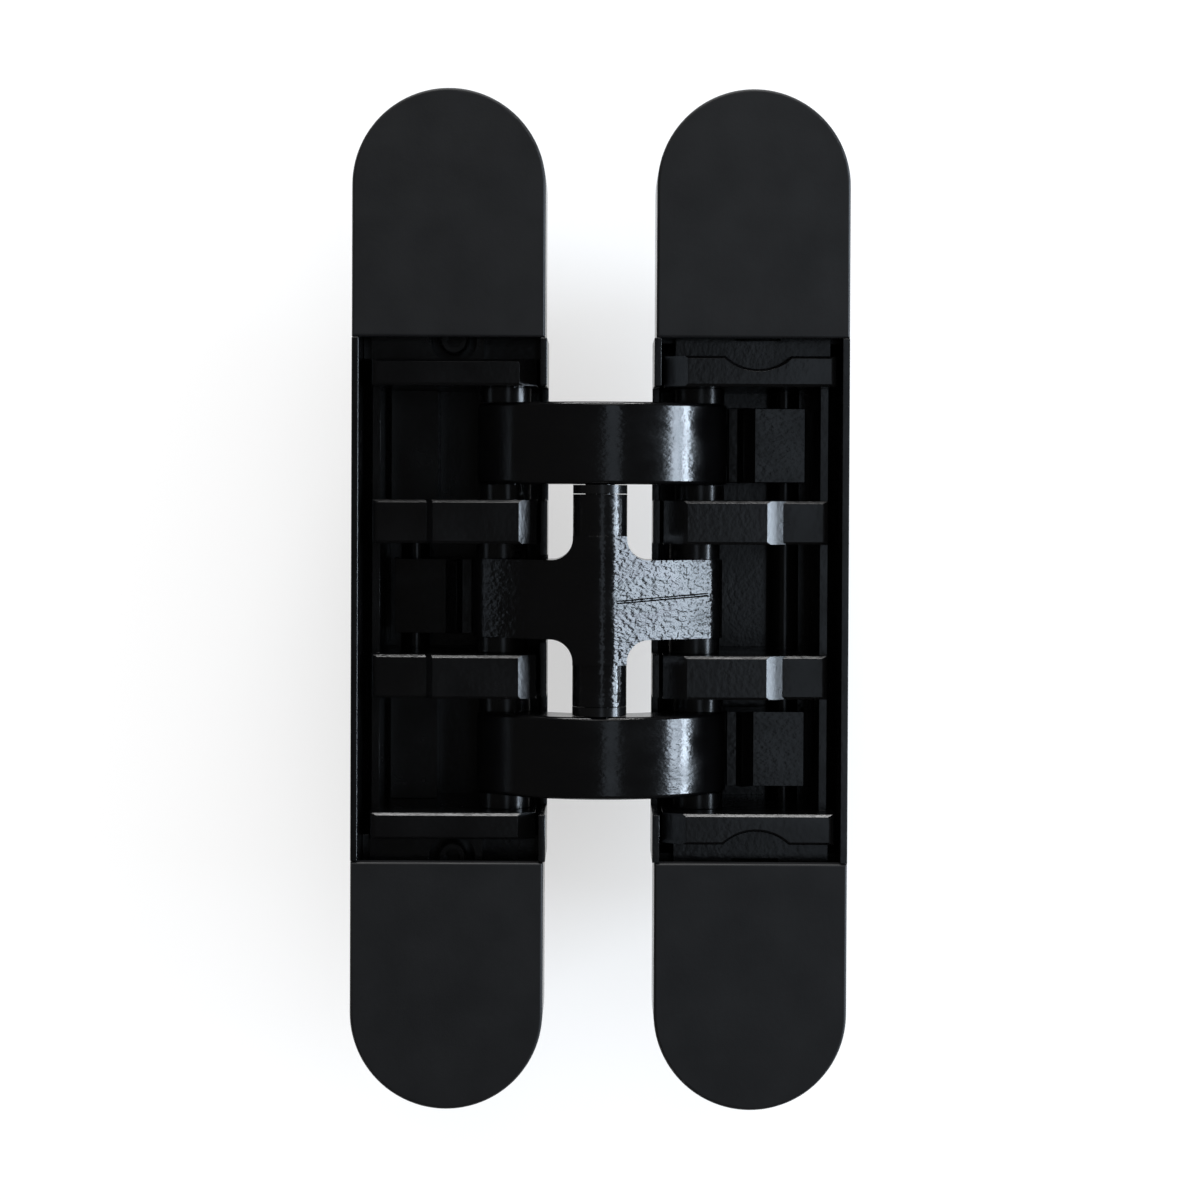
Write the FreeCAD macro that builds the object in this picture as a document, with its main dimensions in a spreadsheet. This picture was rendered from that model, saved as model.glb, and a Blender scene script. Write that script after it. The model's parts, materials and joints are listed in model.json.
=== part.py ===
import FreeCAD, Part
import math
import os
import Sketcher

# Concealed invisible door hinge, opened flat at 180 degrees.
# X runs across the two leaves, Z along them, and Y from the faces into the pockets.
# The origin lies midway between the leaves, in the plane of their faces.

SIZES = {
    # leaves and their housings
    "leaf_length": 116.4,
    "leaf_width": 22.0,
    "leaf_start": 6.35,
    "cap_thick": 1.5,
    "cap_edge_round": 0.35,
    "cap_gap": 0.05,
    "opening_half": 29.9,
    "rim_extra": 0.25,
    "wall": 0.8,
    "end_depth": 12.0,
    "body_wall": 0.4,
    "body_narrow": 0.3,
    "floor": 1.5,
    "back_play": 1.4,
    "pit_play": 0.15,
    "step_depth": 6.8,
    "step_play": 0.6,
    "fixing_radius": 2.3,
    "fixing_sink": 2.2,
    "peg_aside": 7.4,
    "peg_radius": 1.2,
    "peg_length": 3.0,
    "peg_play": 0.02,
    "notch_depth": 10.5,
    "neck_notch": 4.4,
    "cut_margin": 1.0,
    "notch_play": 0.4,
    # carriers, each a comb of four ribs
    "rib_start": 7.3,
    "rib_reach": 26.4,
    "end_rib_extra": 0.75,
    "rib_front": 1.2,
    "rib_bevel_left": 2.0,
    "rib_bevel_right": 2.7,
    "rib_bevel_slope": 0.75,
    "rib_end_round": 0.9,
    "rib_step": 1.3,
    "rib_step_place": 19.1,
    "rib_step_wide_left": 0.8,
    "rib_step_wide_right": 1.9,
    "end_rib_thick_left": 3.0,
    "end_rib_thick_right": 3.5,
    "inner_rib_thick": 5.0,
    "edge_chamfer": 0.3,
    "spine_play": 0.6,
    "spine_thick": 3.0,
    "web_front": 6.0,
    "web_thick": 0.9,
    "lug_front": 3.6,
    "lug_thick": 3.0,
    "lug_margin": 0.6,
    "lug_start_left": 13.4,
    "lug_start_right": 8.6,
    "lug_hole_radius": 2.65,
    "screw_offset_left": 5.3,
    "screw_offset_right": 8.8,
    "screw_across_left": 16.9,
    "screw_across_right": 18.0,
    "lift_travel": 1.5,
    "screw_radius": 1.7,
    "screw_head": 1.8,
    "screw_sunk": 0.8,
    "shank_radius": 1.25,
    "shank_length": 4.5,
    "thread_play": 0.02,
    "socket_radius": 0.95,
    "socket_depth": 1.1,
    "notch_radius": 5.4,
    "notch_bite": 1.5,
    # linkage
    "pivot_across": 11.0,
    "pivot_deep": 8.4,
    "centre_deep": 1.6,
    "float_across": 11.5,
    "float_deep": 9.2,
    "anchor_across": 22.2,
    "anchor_deep": 19.5,
    "bar_radius": 3.3,
    "bar_bend": 12.6,
    "barrel_radius": 3.1,
    "centre_bar_height": 9.1,
    "arm_height": 9.4,
    "bush_thick": 1.7,
    "row_play": 0.07,
    "collar_thick": 1.0,
    "cross_round": 2.5,
    "neck_extra": 0.3,
    "slot_height": 4.4,
    "slot_reach": 6.0,
    "slot_bulge": 1.2,
    "slot_play": 0.25,
    "float_swing": 91.0,
    "tongue_turn": 70.0,
    "tongue_half": 1.5,
    "tongue_eye": 2.1,
    "tongue_play": 0.1,
    "eye_play": 0.35,
    "hook_play": 0.5,
    "hook_wide": 2.1,
    "hook_skin": 0.42,
    "hook_past": 4.0,
    "tail_radius": 2.5,
    "tail_height": 8.8,
    "tail_shoulder": 5.6,
    "tail_front": 12.2,
    "tail_block_start": 15.1,
    "tail_block_past": 2.0,
    "pin_radius": 1.7,
    "float_pin_radius": 1.1,
    "float_play": 0.25,
    "centre_pin_radius": 1.7,
    "anchor_pin_radius": 1.75,
    "spacer_half": 2.75,
    "bush_radius": 3.0,
    "pin_play": 0.05,
    "pin_end_gap": 0.25,
}

doc = FreeCAD.newDocument("ConcealedHinge")
sheet = doc.addObject("Spreadsheet::Sheet", "Sizes")
for row, (name, value) in enumerate(SIZES.items(), start=1):
    sheet.set("A%d" % row, name)
    sheet.set("B%d" % row, str(value))
    sheet.setAlias("B%d" % row, name)

# Heights and places that follow from the sizes above, each a formula.
LAYOUT = {
    "leaf_middle": "Sizes.leaf_start + Sizes.leaf_width / 2",
    "leaf_end": "Sizes.leaf_start + Sizes.leaf_width",
    "rim_start": "Sizes.leaf_start - Sizes.rim_extra",
    "centre_half": "Sizes.centre_bar_height / 2",
    "inner_rib_low": "centre_half + Sizes.bush_thick + 2 * Sizes.row_play",
    "inner_rib_high": "inner_rib_low + Sizes.inner_rib_thick",
    "arm_low": "inner_rib_high + Sizes.bush_thick + 2 * Sizes.row_play",
    "arm_high": "arm_low + Sizes.arm_height",
    "end_rib_low": "arm_high + Sizes.bush_thick + 2 * Sizes.row_play",
    "end_high_left": "end_rib_low + Sizes.end_rib_thick_left",
    "end_high_right": "end_rib_low + Sizes.end_rib_thick_right",
    "screw_place_left": "end_rib_low + Sizes.screw_offset_left",
    "screw_place_right": "end_rib_low + Sizes.screw_offset_right",
    "lug_reach": "screw_place_right + Sizes.lug_hole_radius + Sizes.lug_margin",
    "pit_half_left": "end_high_left + Sizes.pit_play",
    "pit_half_right": "end_high_right + Sizes.lift_travel + Sizes.pit_play",
    "step_half": "lug_reach + Sizes.lift_travel + Sizes.step_play",
    "body_half": "step_half + Sizes.body_wall",
    "fixing_place": "(step_half + Sizes.leaf_length / 2) / 2",
    "spine_front": "Sizes.anchor_deep + Sizes.tail_radius + Sizes.spine_play",
    "spine_back": "spine_front + Sizes.spine_thick",
    "body_depth": "spine_back + Sizes.back_play + Sizes.floor",
    "pivot_slope": "atan((Sizes.pivot_deep - Sizes.centre_deep) / Sizes.pivot_across)",
    "float_slope": "atan((Sizes.float_deep - Sizes.centre_deep) / Sizes.float_across)",
    "bar_block": "Sizes.centre_deep + Sizes.float_deep + Sizes.bar_radius + Sizes.cut_margin",
    "barrel_half": "arm_low - Sizes.collar_thick - 2 * Sizes.row_play",
    "neck_half": "centre_half + Sizes.cross_round + Sizes.neck_extra",
    "arm_middle": "(arm_low + arm_high) / 2",
    "tail_length": "sqrt((Sizes.anchor_across - Sizes.float_across)^2"
                   " + (Sizes.anchor_deep - Sizes.float_deep)^2)",
    "tail_slope": "atan((Sizes.anchor_deep - Sizes.float_deep)"
                  " / (Sizes.anchor_across - Sizes.float_across))",
}
layout = doc.addObject("Spreadsheet::Sheet", "Layout")
for row, (name, formula) in enumerate(LAYOUT.items(), start=1):
    layout.set("A%d" % row, name)
    layout.set("B%d" % row, "=" + formula)
    layout.setAlias("B%d" % row, name)
    doc.recompute()

PARTS = []
SIDES = {"left": -1, "right": 1}
RANKS = {"top": 1, "bottom": -1}


def value(expression):
    """The number that an expression gives."""
    result = sheet.evalExpression(expression)
    return float(getattr(result, "Value", result))


def keep(item, label):
    """Names a finished sub-part."""
    item.Label = label
    PARTS.append(item)
    return item


def bind(item, **expressions):
    """Ties properties to the sheet; a double underscore stands for a dot."""
    for prop, expression in expressions.items():
        item.setExpression(prop.replace("__", "."), expression)
    return item


# Sketch helpers

def new_sketch(body, name, role, offset="0"):
    """A sketch on one of the body's own origin planes, moved along its normal."""
    sketch = body.newObject("Sketcher::SketchObject", name)
    plane = [p for p in body.Origin.OriginFeatures if p.Role == role][0]
    sketch.AttachmentSupport = [(plane, "")]
    sketch.MapMode = "FlatFace"
    sketch.setExpression("AttachmentOffset.Base.z", offset)
    return sketch


def fix(sketch, kind, first, expression):
    """A dimension bound to an expression."""
    index = sketch.addConstraint(Sketcher.Constraint(kind, *first, value(expression)))
    sketch.setExpression("Constraints[%d]" % index, expression)


def place_point(sketch, geo, pos, across, up):
    """Sets a point's two coordinates from the sketch's origin."""
    for kind, expression in (("DistanceX", across), ("DistanceY", up)):
        fix(sketch, kind, (-1, 1, geo, pos), expression)


def polygon(sketch, points):
    """A closed outline of straight lines through points given as expressions."""
    spots = [FreeCAD.Vector(value(x), value(y), 0) for x, y in points]
    first = sketch.GeometryCount
    for i, spot in enumerate(spots):
        sketch.addGeometry(Part.LineSegment(spot, spots[(i + 1) % len(spots)]))
    for i in range(len(spots)):
        follower = first + (i + 1) % len(spots)
        sketch.addConstraint(Sketcher.Constraint("Coincident", first + i, 2, follower, 1))
    for i, (x, y) in enumerate(points):
        place_point(sketch, first + i, 1, x, y)


def rectangle(sketch, low_x, high_x, low_y, high_y):
    polygon(sketch, [(low_x, low_y), (high_x, low_y), (high_x, high_y), (low_x, high_y)])


def circle(sketch, across, up, radius):
    spot = FreeCAD.Vector(value(across), value(up), 0)
    geo = sketch.addGeometry(Part.Circle(spot, FreeCAD.Vector(0, 0, 1), value(radius)))
    place_point(sketch, geo, 3, across, up)
    fix(sketch, "Radius", (geo,), radius)


def arc(middle, radius, start, end):
    """An arc of a circle, turning anticlockwise between two angles in radians."""
    full = Part.Circle(FreeCAD.Vector(middle[0], middle[1], 0), FreeCAD.Vector(0, 0, 1), radius)
    return Part.ArcOfCircle(full, start, end)


def long_slot(sketch, middle, width, half_length):
    """An upright stadium: two straight sides and two round ends."""
    x, r = value(middle), value(width) / 2
    top = value(half_length) - r
    sketch.addGeometry(arc((x, top), r, 0, math.pi))
    sketch.addGeometry(Part.LineSegment(FreeCAD.Vector(x - r, top, 0), FreeCAD.Vector(x - r, -top, 0)))
    sketch.addGeometry(arc((x, -top), r, math.pi, 2 * math.pi))
    sketch.addGeometry(Part.LineSegment(FreeCAD.Vector(x + r, -top, 0), FreeCAD.Vector(x + r, top, 0)))
    for i, (end, start) in enumerate(((2, 1), (2, 1), (2, 1), (2, 1))):
        sketch.addConstraint(Sketcher.Constraint("Tangent", i, end, (i + 1) % 4, start))
    sketch.addConstraint(Sketcher.Constraint("Vertical", 1))
    place_point(sketch, 0, 3, middle, "%s - (%s) / 2" % (half_length, width))
    place_point(sketch, 2, 3, middle, "(%s) / 2 - (%s)" % (width, half_length))
    fix(sketch, "Radius", (0,), "(%s) / 2" % width)


def bent_bar(sketch, start, end, radius, bend):
    """A bar of even width, round at both ends and bowed towards the front."""
    (ax, ay), (bx, by) = [(value(x), value(y)) for x, y in (start, end)]
    if ax > bx:
        (ax, ay), (bx, by), start, end = (bx, by), (ax, ay), end, start
    r, big = value(radius), value(bend)
    half = math.hypot(bx - ax, by - ay) / 2
    lift = math.sqrt(big ** 2 - half ** 2)
    tilt = math.atan2(by - ay, bx - ax)
    hub = ((ax + bx) / 2 - lift * math.sin(tilt), (ay + by) / 2 + lift * math.cos(tilt))
    first = math.atan2(ay - hub[1], ax - hub[0])
    last = math.atan2(by - hub[1], bx - hub[0])
    if last < first:
        last += 2 * math.pi
    sketch.addGeometry(arc(hub, big + r, first, last))
    sketch.addGeometry(arc((bx, by), r, last, last + math.pi))
    sketch.addGeometry(arc(hub, big - r, first, last))
    sketch.addGeometry(arc((ax, ay), r, first - math.pi, first))
    for one, end_one, two, end_two in ((0, 2, 1, 1), (1, 2, 2, 2), (2, 1, 3, 1), (3, 2, 0, 1)):
        sketch.addConstraint(Sketcher.Constraint("Tangent", one, end_one, two, end_two))
    place_point(sketch, 1, 3, *end)
    place_point(sketch, 3, 3, *start)
    fix(sketch, "Radius", (0,), "%s + %s" % (bend, radius))
    fix(sketch, "Radius", (2,), "%s - %s" % (bend, radius))
    fix(sketch, "Radius", (1,), radius)
    fix(sketch, "Radius", (3,), radius)


def sloping_bar(sketch, start, end, side, slope):
    """The straight sides of a bar that slopes back from one point to another."""
    aside = "%d * Sizes.bar_radius * sin(%s)" % (side, slope)
    ahead = "Sizes.bar_radius * cos(%s)" % slope
    corners = [("%s + %s" % (x, aside), "%s - %s" % (y, ahead)) for x, y in (start, end)]
    corners += [("%s - %s" % (x, aside), "%s + %s" % (y, ahead)) for x, y in (end, start)]
    polygon(sketch, corners)


# Feature helpers

def new_body(name):
    return doc.addObject("PartDesign::Body", name)


def pad(body, sketch, length, back=False, both=False):
    feature = body.newObject("PartDesign::Pad", "Pad")
    feature.Profile = sketch
    feature.setExpression("Length", length)
    feature.Reversed = back
    feature.Midplane = both
    return feature


def pocket(body, sketch, length, back=False, both=False):
    feature = body.newObject("PartDesign::Pocket", "Pocket")
    feature.Profile = sketch
    feature.setExpression("Length", length)
    feature.Reversed = back
    feature.Midplane = both
    return feature


def chosen_edges(feature, test):
    """Names of the feature's edges whose every point passes the test."""
    doc.recompute()
    names = []
    for i, edge in enumerate(feature.Shape.Edges, start=1):
        points = edge.discretize(5)
        if all(test(p, edge) for p in points):
            names.append("Edge%d" % i)
    return names


def chamfer(body, feature, test, size):
    """Bevels the chosen edges of the body's last feature."""
    names = chosen_edges(feature, test)
    cut = body.newObject("PartDesign::Chamfer", "Chamfer")
    cut.Base = (feature, names)
    cut.setExpression("Size", size)
    return cut


def fillet(body, feature, test, size):
    """Rounds the chosen edges of the body's last feature."""
    names = chosen_edges(feature, test)
    cut = body.newObject("PartDesign::Fillet", "Fillet")
    cut.Base = (feature, names)
    cut.setExpression("Radius", size)
    return cut


def near(one, two, slack=0.001):
    return abs(one - two) < slack


def mirrored(side, expression):
    """An expression across the hinge, on the left or the right."""
    return "%d * (%s)" % (side, expression)


# Housings: a long flange with round ends, and a deep box behind its middle

def make_case(name, side):
    middle = mirrored(side, "Layout.leaf_middle")
    rim_in = mirrored(side, "Layout.rim_start")
    rim_out = mirrored(side, "Layout.leaf_end")
    wall_in = mirrored(side, "Layout.rim_start + Sizes.wall")
    wall_out = mirrored(side, "Layout.leaf_end - Sizes.wall")
    body = new_body("Case" + name.capitalize())
    flange = new_sketch(body, "Flange", "XZ_Plane", "-Sizes.cap_thick")
    long_slot(flange, middle, "Sizes.leaf_width", "Sizes.leaf_length / 2")
    pad(body, flange, "Sizes.end_depth - Sizes.cap_thick", back=True)
    rim = new_sketch(body, "Rim", "XZ_Plane")
    rectangle(rim, rim_in, rim_out, "-Sizes.opening_half", "Sizes.opening_half")
    pad(body, rim, "Sizes.end_depth", back=True)
    box = new_sketch(body, "DeepBox", "XZ_Plane", "-Sizes.end_depth")
    long_slot(box, middle, "Sizes.leaf_width - 2 * Sizes.body_narrow", "Layout.body_half")
    pad(body, box, "Layout.body_depth - Sizes.end_depth", back=True)
    step = new_sketch(body, "Step", "XZ_Plane")
    rectangle(step, wall_in, wall_out, "-Layout.step_half", "Layout.step_half")
    pocket(body, step, "Sizes.step_depth")
    pit = new_sketch(body, "Pit", "XZ_Plane")
    rectangle(pit, wall_in, wall_out, "-Layout.pit_half_" + name, "Layout.pit_half_" + name)
    pocket(body, pit, "Layout.body_depth - Sizes.floor")
    lift = "Sizes.lift_travel" if side > 0 else "0"
    spare = "Sizes.notch_play + " + lift
    rows = (
        ("-Layout.centre_half - (%s)" % spare, "Layout.centre_half + " + spare),
        ("Layout.inner_rib_high", "Layout.end_rib_low"),
        ("-Layout.end_rib_low", "-Layout.inner_rib_high"),
    )
    gates = new_sketch(body, "Gates", "XZ_Plane")
    before_rim = mirrored(side, "Layout.rim_start - Sizes.cut_margin")
    for low, high in rows:
        rectangle(gates, before_rim, wall_in, low, high)
    pocket(body, gates, "Sizes.notch_depth")
    throat = new_sketch(body, "NeckGate", "XZ_Plane")
    rectangle(throat, before_rim, wall_in,
              "-Layout.neck_half - (%s)" % spare, "Layout.neck_half + " + spare)
    pocket(body, throat, "Sizes.neck_notch")
    screw = "Layout.screw_place_" + name
    bores = new_sketch(body, "Bores", "XZ_Plane", "-Sizes.step_depth")
    for rank in RANKS.values():
        circle(bores, mirrored(side, "Sizes.screw_across_" + name), mirrored(rank, screw),
               "Sizes.shank_radius + Sizes.thread_play")
    pocket(body, bores, "Sizes.shank_length")
    pegs = new_sketch(body, "PegHoles", "XZ_Plane", "-Sizes.cap_thick")
    for rank in RANKS.values():
        for aside in (-1, 1):
            circle(pegs, "%s + %d * Sizes.peg_aside" % (middle, aside), mirrored(rank, "Layout.fixing_place"),
                   "Sizes.peg_radius + Sizes.peg_play")
    pocket(body, pegs, "Sizes.peg_length + Sizes.cap_gap")
    holes = new_sketch(body, "FixingHoles", "XZ_Plane", "-Sizes.cap_thick")
    for rank in RANKS.values():
        circle(holes, middle, mirrored(rank, "Layout.fixing_place"), "Sizes.fixing_radius")
    drilled = pocket(body, holes, "Sizes.end_depth")
    front = value("Sizes.cap_thick")
    radius = value("Sizes.fixing_radius")
    chamfer(body, drilled, lambda p, e: near(p.y, front) and near(getattr(e.Curve, "Radius", 0), radius)
            and e.isClosed(), "Sizes.fixing_sink")
    keep(body, "case_" + name)


# Cover caps: flat plates with a round end, clipped on with two pegs each

def make_cap(name, side, rank_name, rank):
    body = new_body("Cap" + name.capitalize() + rank_name.capitalize())
    low = "Sizes.opening_half + Sizes.cap_gap"
    plate = new_sketch(body, "Plate", "XZ_Plane")
    x = side * value("Layout.leaf_middle")
    r = value("Sizes.leaf_width") / 2
    start = rank * value(low)
    top = rank * (value("Sizes.leaf_length") / 2 - r)
    near_side, far_side = x - r, x + r
    if rank > 0:
        round_end = arc((x, top), r, 0, math.pi)
        ends = (1, 2)
    else:
        round_end = arc((x, top), r, math.pi, 2 * math.pi)
        ends = (2, 1)
    plate.addGeometry(Part.LineSegment(FreeCAD.Vector(near_side, start, 0), FreeCAD.Vector(far_side, start, 0)))
    plate.addGeometry(Part.LineSegment(FreeCAD.Vector(far_side, start, 0), FreeCAD.Vector(far_side, top, 0)))
    plate.addGeometry(round_end)
    plate.addGeometry(Part.LineSegment(FreeCAD.Vector(near_side, top, 0), FreeCAD.Vector(near_side, start, 0)))
    plate.addConstraint(Sketcher.Constraint("Coincident", 0, 2, 1, 1))
    plate.addConstraint(Sketcher.Constraint("Coincident", 3, 2, 0, 1))
    plate.addConstraint(Sketcher.Constraint("Tangent", 1, 2, 2, ends[0]))
    plate.addConstraint(Sketcher.Constraint("Tangent", 2, ends[1], 3, 1))
    plate.addConstraint(Sketcher.Constraint("Horizontal", 0))
    plate.addConstraint(Sketcher.Constraint("Vertical", 1))
    plate.addConstraint(Sketcher.Constraint("Vertical", 3))
    place_point(plate, 2, 3, mirrored(side, "Layout.leaf_middle"),
                mirrored(rank, "(Sizes.leaf_length - Sizes.leaf_width) / 2"))
    fix(plate, "Radius", (2,), "Sizes.leaf_width / 2")
    fix(plate, "DistanceY", (-1, 1, 0, 1), mirrored(rank, low))
    face = pad(body, plate, "Sizes.cap_thick", back=True)
    fillet(body, face, lambda p, e: near(p.y, 0), "Sizes.cap_edge_round")
    pegs = new_sketch(body, "Pegs", "XZ_Plane", "-Sizes.cap_thick")
    for aside in (-1, 1):
        circle(pegs, "%s + %d * Sizes.peg_aside" % (mirrored(side, "Layout.leaf_middle"), aside),
               mirrored(rank, "Layout.fixing_place"), "Sizes.peg_radius")
    pad(body, pegs, "Sizes.peg_length", back=True)
    keep(body, "cap_%s_%s" % (name, rank_name))


# Carriers: a spine with four ribs, an outer web and two end lugs, cast in one

def rib_outline(sketch, name, side, reach, stepped):
    """The side view of a rib: bevelled at the gap, and lower over its outer part."""
    front = "Sizes.rib_front"
    bevel = "Sizes.rib_bevel_" + name
    points = [
        ("Sizes.rib_start", "Layout.spine_back"),
        ("Sizes.rib_start", "Sizes.rib_front + %s * Sizes.rib_bevel_slope" % bevel),
        ("Sizes.rib_start + " + bevel, front),
    ]
    if stepped:
        lower = "Sizes.rib_front + Sizes.rib_step"
        points.append(("Sizes.rib_step_place", front))
        points.append(("Sizes.rib_step_place + Sizes.rib_step_wide_" + name, lower))
        front = lower
    # the outer corner is a round, drawn as two flats
    for inward, deeper in (("1", "0"), ("0.3", "0.35"), ("0", "1")):
        points.append(("%s - %s * Sizes.rib_end_round" % (reach, inward),
                       "%s + %s * Sizes.rib_end_round" % (front, deeper)))
    points.append((reach, "Layout.spine_back"))
    polygon(sketch, [(mirrored(side, x), y) for x, y in points])


def make_carrier(name, side):
    body = new_body("Carrier" + name.capitalize())
    end_high = "Layout.end_high_" + name
    spine = new_sketch(body, "Spine", "XY_Plane")
    rectangle(spine, mirrored(side, "Sizes.rib_start"), mirrored(side, "Sizes.rib_reach"),
              "Layout.spine_front", "Layout.spine_back")
    pad(body, spine, "2 * " + end_high, both=True)
    web = new_sketch(body, "Web", "XY_Plane")
    rectangle(web, mirrored(side, "Sizes.rib_reach - Sizes.web_thick"), mirrored(side, "Sizes.rib_reach"),
              "Sizes.web_front", "Layout.spine_back")
    pad(body, web, "2 * Layout.end_rib_low", both=True)
    wide = "Sizes.rib_reach + Sizes.end_rib_extra" if side > 0 else "Sizes.rib_reach"
    for low, thick, reach, stepped in (
        ("-" + end_high, "Sizes.end_rib_thick_" + name, wide, False),
        ("-Layout.inner_rib_high", "Sizes.inner_rib_thick", "Sizes.rib_reach", True),
        ("Layout.inner_rib_low", "Sizes.inner_rib_thick", "Sizes.rib_reach", True),
        ("Layout.end_rib_low", "Sizes.end_rib_thick_" + name, wide, False),
    ):
        rib = new_sketch(body, "Rib", "XY_Plane", low)
        rib_outline(rib, name, side, reach, stepped)
        pad(body, rib, thick)
    lugs = new_sketch(body, "Lugs", "XZ_Plane", "-Sizes.lug_front")
    start = mirrored(side, "Sizes.lug_start_" + name)
    stop = mirrored(side, "Sizes.rib_reach")
    for rank in RANKS.values():
        rectangle(lugs, start, stop, mirrored(rank, "Layout.end_rib_low + Sizes.edge_chamfer"),
                  mirrored(rank, "Layout.lug_reach"))
    pad(body, lugs, "Sizes.lug_thick", back=True)
    screw = "Layout.screw_place_" + name
    across = mirrored(side, "Sizes.screw_across_" + name)
    eyes = new_sketch(body, "Eyes", "XZ_Plane", "-Sizes.lug_front")
    for rank in RANKS.values():
        circle(eyes, across, mirrored(rank, screw), "Sizes.lug_hole_radius")
    pocket(body, eyes, "Sizes.lug_thick")
    if side > 0:
        slots = new_sketch(body, "LiftSlots", "XZ_Plane", "-Sizes.lug_front")
        for rank in RANKS.values():
            rectangle(slots, across + " - Sizes.lug_hole_radius", across + " + Sizes.lug_hole_radius",
                      mirrored(rank, screw + " - Sizes.lift_travel - Sizes.screw_radius - Sizes.slot_play"),
                      mirrored(rank, "Layout.lug_reach + Sizes.cut_margin"))
        pocket(body, slots, "Sizes.lug_thick")
        bites = new_sketch(body, "DriverBites", "XZ_Plane")
        for rank in RANKS.values():
            circle(bites, across, mirrored(rank, end_high + " - Sizes.notch_bite + Sizes.notch_radius"),
                   "Sizes.notch_radius")
        pocket(body, bites, "Sizes.lug_front")
    anchor = new_sketch(body, "AnchorBore", "XY_Plane")
    circle(anchor, mirrored(side, "Sizes.anchor_across"), "Sizes.anchor_deep", "Sizes.anchor_pin_radius")
    pocket(body, anchor, "2 * %s - 2 * Sizes.pin_end_gap" % end_high, both=True)
    pivot = new_sketch(body, "PivotBore", "XY_Plane")
    circle(pivot, mirrored(side, "Sizes.pivot_across"), "Sizes.pivot_deep", "Sizes.pin_radius")
    pinned = end_high if side < 0 else "Layout.inner_rib_high"
    last = pocket(body, pivot, "2 * %s - 2 * Sizes.pin_end_gap" % pinned, both=True)
    front = value("Sizes.rib_front")
    lower = front + value("Sizes.rib_step")
    chamfer(body, last, lambda p, e: (near(p.y, front) or near(p.y, lower)) and e.BoundBox.XLength > 1,
            "Sizes.edge_chamfer")
    keep(body, "carrier_" + name)


# Adjusting screws: a round head with a hexagon socket, and a threaded shank

def make_adjust_screw(name, side, rank_name, rank):
    body = new_body("Adjuster" + name.capitalize() + rank_name.capitalize())
    across = mirrored(side, "Sizes.screw_across_" + name)
    up = mirrored(rank, "Layout.screw_place_" + name)
    face = "Sizes.step_depth - Sizes.screw_head - Sizes.screw_sunk"
    head = new_sketch(body, "Head", "XZ_Plane", "-(%s)" % face)
    circle(head, across, up, "Sizes.screw_radius")
    pad(body, head, "Sizes.screw_head + Sizes.screw_sunk", back=True)
    shank = new_sketch(body, "Shank", "XZ_Plane", "-Sizes.step_depth")
    circle(shank, across, up, "Sizes.shank_radius")
    pad(body, shank, "Sizes.shank_length", back=True)
    socket = new_sketch(body, "Socket", "XZ_Plane", "-(%s)" % face)
    corners = []
    for i in range(6):
        corners.append(("%s + Sizes.socket_radius * cos(%d)" % (across, 60 * i),
                        "%s + Sizes.socket_radius * sin(%d)" % (up, 60 * i)))
    polygon(socket, corners)
    cut = pocket(body, socket, "Sizes.socket_depth")
    y = value(face)
    chamfer(body, cut, lambda p, e: near(p.y, y) and e.isClosed(), "Sizes.edge_chamfer")
    keep(body, "adjust_screw_%s_%s" % (name, rank_name))


# The crossing bars

PIVOT_LEFT = ("-Sizes.pivot_across", "Sizes.pivot_deep")
PIVOT_RIGHT = ("Sizes.pivot_across", "Sizes.pivot_deep")
FLOAT_LEFT = ("-Sizes.float_across", "Sizes.float_deep")
FLOAT_RIGHT = ("Sizes.float_across", "Sizes.float_deep")
CENTRE = ("0", "Sizes.centre_deep")


def slot_corners(end, side):
    """The fan that the tongue sweeps behind a floating end, as a polygon."""
    half = "(Sizes.tongue_half + Sizes.slot_play)"
    start = "(180 deg - Layout.tail_slope - Sizes.tongue_turn * 1 deg)"
    stop = "(%s + Sizes.float_swing * 1 deg)" % start
    corners = []
    for turn, aside, reach in (
        (start, "-" + half, "0"), (start, "-" + half, "Sizes.slot_reach"),
        ("(%s + Sizes.float_swing * 1 deg / 3)" % start, "0", "Sizes.slot_bulge * Sizes.slot_reach"),
        ("(%s - Sizes.float_swing * 1 deg / 3)" % stop, "0", "Sizes.slot_bulge * Sizes.slot_reach"),
        (stop, half, "Sizes.slot_reach"), (stop, half, "0"),
    ):
        corners.append(("%s + %d * (%s * sin(%s) - %s * cos(%s))" % (end[0], side, aside, turn, reach, turn),
                        "%s + %s * cos(%s) + %s * sin(%s)" % (end[1], aside, turn, reach, turn)))
    return corners


def fork_slot(body, end, middle):
    """Opens the back of the arm's floating end for the tongue of its tail link."""
    eye = new_sketch(body, "ForkEye", "XY_Plane", middle)
    circle(eye, end[0], end[1], "Sizes.tongue_eye + Sizes.eye_play")
    pocket(body, eye, "Sizes.slot_height", both=True)
    fan = new_sketch(body, "ForkFan", "XY_Plane", middle)
    polygon(fan, slot_corners(end, 1))
    return pocket(body, fan, "Sizes.slot_height", both=True)


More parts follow.
